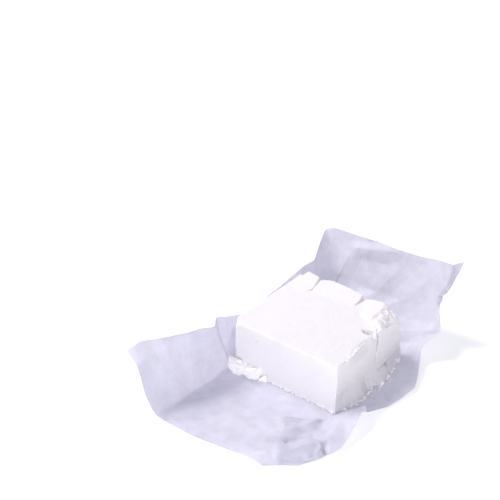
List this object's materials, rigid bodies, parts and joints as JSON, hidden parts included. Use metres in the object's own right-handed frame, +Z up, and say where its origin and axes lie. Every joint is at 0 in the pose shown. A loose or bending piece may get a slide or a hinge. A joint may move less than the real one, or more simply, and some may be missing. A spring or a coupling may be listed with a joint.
{
  "type": "gymnastics chalk block in its opened paper wrapper",
  "caption": "Pressed magnesium carbonate chalk block with a broken corner and loose crumbs, lying in its unfolded tissue wrapper; the block lifts out and the wrapper's flaps fold.",
  "frame": {"origin": "on the table under the middle of the chalk block, at the underside of the wrapper", "axes": "+Z up; -Y is the block's front face, towards the front flap of the wrapper; +X is the block's right face"},
  "size_m": [0.1045, 0.1533, 0.0415],
  "materials": {
    "pressed_chalk": "matte",
    "broken_chalk": "matte",
    "wrapper_paper": "matte"
  },
  "bodies": {
    "wrapper_base": {"wrapper_base": "wrapper_paper", "wrapper_left_edge": "wrapper_paper", "wrapper_right_edge": "wrapper_paper", "wrapper_right_tip": "wrapper_paper", "crumb_1": "broken_chalk", "crumb_2": "broken_chalk", "crumb_3": "broken_chalk", "crumb_4": "broken_chalk", "crumb_5": "broken_chalk"},
    "front_flap": {"front_flap_inner": "wrapper_paper", "front_flap_outer": "wrapper_paper", "front_flap_left_edge": "wrapper_paper"},
    "back_flap": {"back_flap_middle": "wrapper_paper", "back_flap_left_edge": "wrapper_paper", "back_flap_right_edge": "wrapper_paper"},
    "chalk_block": {"chalk_block": "pressed_chalk", "rear_flake_left": "pressed_chalk", "rear_flake_middle": "pressed_chalk", "foot_flake_1": "broken_chalk", "foot_flake_2": "broken_chalk", "foot_flake_3": "broken_chalk", "foot_flake_4": "broken_chalk"},
    "broken_corner": {"broken_corner": "broken_chalk"}
  },
  "joints": [
    {"name": "front_flap_fold", "type": "hinge", "parent": "wrapper_base", "child": "front_flap", "pos_m": [0, -0.038, 0.0003], "axis": [-1, 0, 0], "range_deg": [0, 80]},
    {"name": "back_flap_fold", "type": "hinge", "parent": "wrapper_base", "child": "back_flap", "pos_m": [0, 0.034, 0.0003], "axis": [1, 0, 0], "range_deg": [-25, 30]},
    {"name": "block_lift", "type": "slide", "parent": "wrapper_base", "child": "chalk_block", "axis": [0, 0, 1], "range_m": [0, 0.06]},
    {"name": "corner_lift", "type": "slide", "parent": "chalk_block", "child": "broken_corner", "axis": [0, 0, 1], "range_m": [0, 0.03]}
  ]
}
